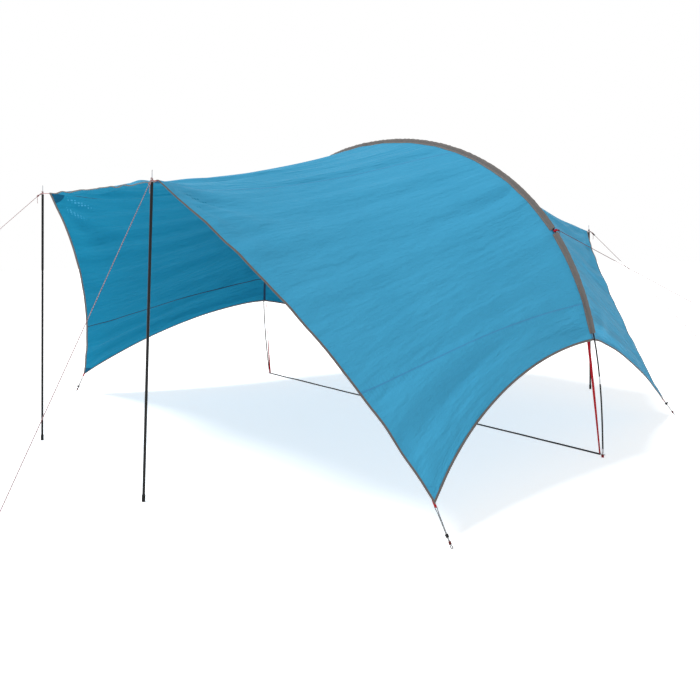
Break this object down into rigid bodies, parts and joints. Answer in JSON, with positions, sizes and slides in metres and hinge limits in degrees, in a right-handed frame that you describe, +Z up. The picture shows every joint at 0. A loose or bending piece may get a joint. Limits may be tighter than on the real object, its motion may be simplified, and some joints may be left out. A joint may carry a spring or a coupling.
{
  "type": "tunnel tent",
  "caption": "Open tunnel tent: a stretched canopy over one arch rod, on upright poles, with guy lines and corner ties.",
  "frame": {"origin": "on the floor, at the middle of the ground strap that joins the arch's two feet", "axes": "+Z up, -Y out of the tall front opening, +X to the tent's right as seen from above with the front at the bottom"},
  "size_m": [5.6824, 8.588, 2.484],
  "materials": {
    "canopy_fabric": "blue coated ripstop polyester, soft sheen outside, matt inside",
    "sleeve_fabric": "warm grey woven sleeve and edge tape",
    "red_webbing": "red ribbed webbing",
    "black_webbing": "black flat webbing",
    "tie_cord": "dark braided cord",
    "guy_cord": "braided cord, red with pale flecks",
    "fibreglass": "black fibreglass rod, satin",
    "black_tube": "black powder coat, satin",
    "bare_metal": "bare steel, brushed",
    "rubber": "moulded black rubber",
    "black_plastic": "moulded black plastic"
  },
  "bodies": {
    "root": {"canopy_front_roof": "canopy_fabric", "canopy_front_wall_right": "canopy_fabric", "canopy_front_wall_left": "canopy_fabric", "canopy_rear_roof": "canopy_fabric", "canopy_rear_wall_right": "canopy_fabric", "canopy_rear_wall_left": "canopy_fabric", "sleeve_crown": "sleeve_fabric", "sleeve_right": "sleeve_fabric", "sleeve_left": "sleeve_fabric", "arch_rod_crown": "fibreglass", "arch_rod_right": "fibreglass", "arch_ferrule_right": "bare_metal", "arch_tip_right": "bare_metal", "foot_ring_right": "bare_metal", "hem_strap_right": "red_webbing", "front_tab_right": "red_webbing", "rear_tab_right": "red_webbing", "front_tie_right": "tie_cord", "rear_tie_right": "tie_cord", "front_guy_right": "guy_cord", "rear_guy_right": "guy_cord", "arch_guy_right": "guy_cord", "arch_rod_left": "fibreglass", "arch_ferrule_left": "bare_metal", "arch_tip_left": "bare_metal", "foot_ring_left": "bare_metal", "hem_strap_left": "red_webbing", "front_tab_left": "red_webbing", "rear_tab_left": "red_webbing", "front_tie_left": "tie_cord", "rear_tie_left": "tie_cord", "front_guy_left": "guy_cord", "rear_guy_left": "guy_cord", "arch_guy_left": "guy_cord", "ground_strap": "black_webbing"},
    "front_pole_right_top": {"front_pole_right_upper": "black_tube", "front_pole_right_spike": "bare_metal"},
    "front_pole_right_middle_section": {"front_pole_right_middle": "black_tube"},
    "front_pole_right_base": {"front_pole_right_lower": "black_tube", "front_pole_right_foot": "rubber"},
    "rear_pole_right_top": {"rear_pole_right_upper": "black_tube", "rear_pole_right_spike": "bare_metal"},
    "rear_pole_right_base": {"rear_pole_right_lower": "black_tube", "rear_pole_right_foot": "rubber"},
    "front_cord_lock_right": {"front_lock_right": "black_plastic"},
    "rear_cord_lock_right": {"rear_lock_right": "black_plastic"},
    "rear_guy_runner_right": {"rear_runner_right": "black_plastic"},
    "front_pole_left_top": {"front_pole_left_upper": "black_tube", "front_pole_left_spike": "bare_metal"},
    "front_pole_left_middle_section": {"front_pole_left_middle": "black_tube"},
    "front_pole_left_base": {"front_pole_left_lower": "black_tube", "front_pole_left_foot": "rubber"},
    "rear_pole_left_top": {"rear_pole_left_upper": "black_tube", "rear_pole_left_spike": "bare_metal"},
    "rear_pole_left_base": {"rear_pole_left_lower": "black_tube", "rear_pole_left_foot": "rubber"},
    "front_cord_lock_left": {"front_lock_left": "black_plastic"},
    "rear_cord_lock_left": {"rear_lock_left": "black_plastic"},
    "rear_guy_runner_left": {"rear_runner_left": "black_plastic"}
  },
  "joints": [
    {"name": "front_pole_right_lean", "type": "hinge", "parent": "root", "child": "front_pole_right_top", "pos_m": [0.993, -2.95, 2], "axis": [1, 0, 0], "range_deg": [-20, 20]},
    {"name": "front_pole_right_middle_plug", "type": "slide", "parent": "front_pole_right_top", "child": "front_pole_right_middle_section", "axis": [-0.013, -0.0723, -0.9973], "range_m": [0, 0.065]},
    {"name": "front_pole_right_lower_plug", "type": "slide", "parent": "front_pole_right_middle_section", "child": "front_pole_right_base", "axis": [-0.013, -0.0723, -0.9973], "range_m": [0, 0.065]},
    {"name": "rear_pole_right_lean", "type": "hinge", "parent": "root", "child": "rear_pole_right_top", "pos_m": [0.804, 1.889, 1.659], "axis": [1, 0, 0], "range_deg": [-20, 20]},
    {"name": "rear_pole_right_lower_plug", "type": "slide", "parent": "rear_pole_right_top", "child": "rear_pole_right_base", "axis": [-0.0072, 0.0924, -0.9957], "range_m": [0, 0.065]},
    {"name": "front_lock_right_slide", "type": "slide", "parent": "root", "child": "front_cord_lock_right", "axis": [0.6267, -0.1083, -0.7717], "range_m": [-0.105, 0.03]},
    {"name": "rear_lock_right_slide", "type": "slide", "parent": "root", "child": "rear_cord_lock_right", "axis": [0.4035, 0.4669, -0.7869], "range_m": [-0.008, 0.09]},
    {"name": "rear_runner_right_slide", "type": "slide", "parent": "root", "child": "rear_guy_runner_right", "axis": [0.5087, 0.5024, -0.6991], "range_m": [-0.02, 1]},
    {"name": "front_pole_left_lean", "type": "hinge", "parent": "root", "child": "front_pole_left_top", "pos_m": [-0.993, -2.95, 2], "axis": [1, 0, 0], "range_deg": [-20, 20]},
    {"name": "front_pole_left_middle_plug", "type": "slide", "parent": "front_pole_left_top", "child": "front_pole_left_middle_section", "axis": [0.013, -0.0723, -0.9973], "range_m": [0, 0.065]},
    {"name": "front_pole_left_lower_plug", "type": "slide", "parent": "front_pole_left_middle_section", "child": "front_pole_left_base", "axis": [0.013, -0.0723, -0.9973], "range_m": [0, 0.065]},
    {"name": "rear_pole_left_lean", "type": "hinge", "parent": "root", "child": "rear_pole_left_top", "pos_m": [-0.804, 1.889, 1.659], "axis": [1, 0, 0], "range_deg": [-20, 20]},
    {"name": "rear_pole_left_lower_plug", "type": "slide", "parent": "rear_pole_left_top", "child": "rear_pole_left_base", "axis": [0.0072, 0.0924, -0.9957], "range_m": [0, 0.065]},
    {"name": "front_lock_left_slide", "type": "slide", "parent": "root", "child": "front_cord_lock_left", "axis": [-0.6267, -0.1083, -0.7717], "range_m": [-0.105, 0.03]},
    {"name": "rear_lock_left_slide", "type": "slide", "parent": "root", "child": "rear_cord_lock_left", "axis": [-0.4035, 0.4669, -0.7869], "range_m": [-0.008, 0.09]},
    {"name": "rear_runner_left_slide", "type": "slide", "parent": "root", "child": "rear_guy_runner_left", "axis": [-0.5087, 0.5024, -0.6991], "range_m": [-0.02, 1]}
  ]
}
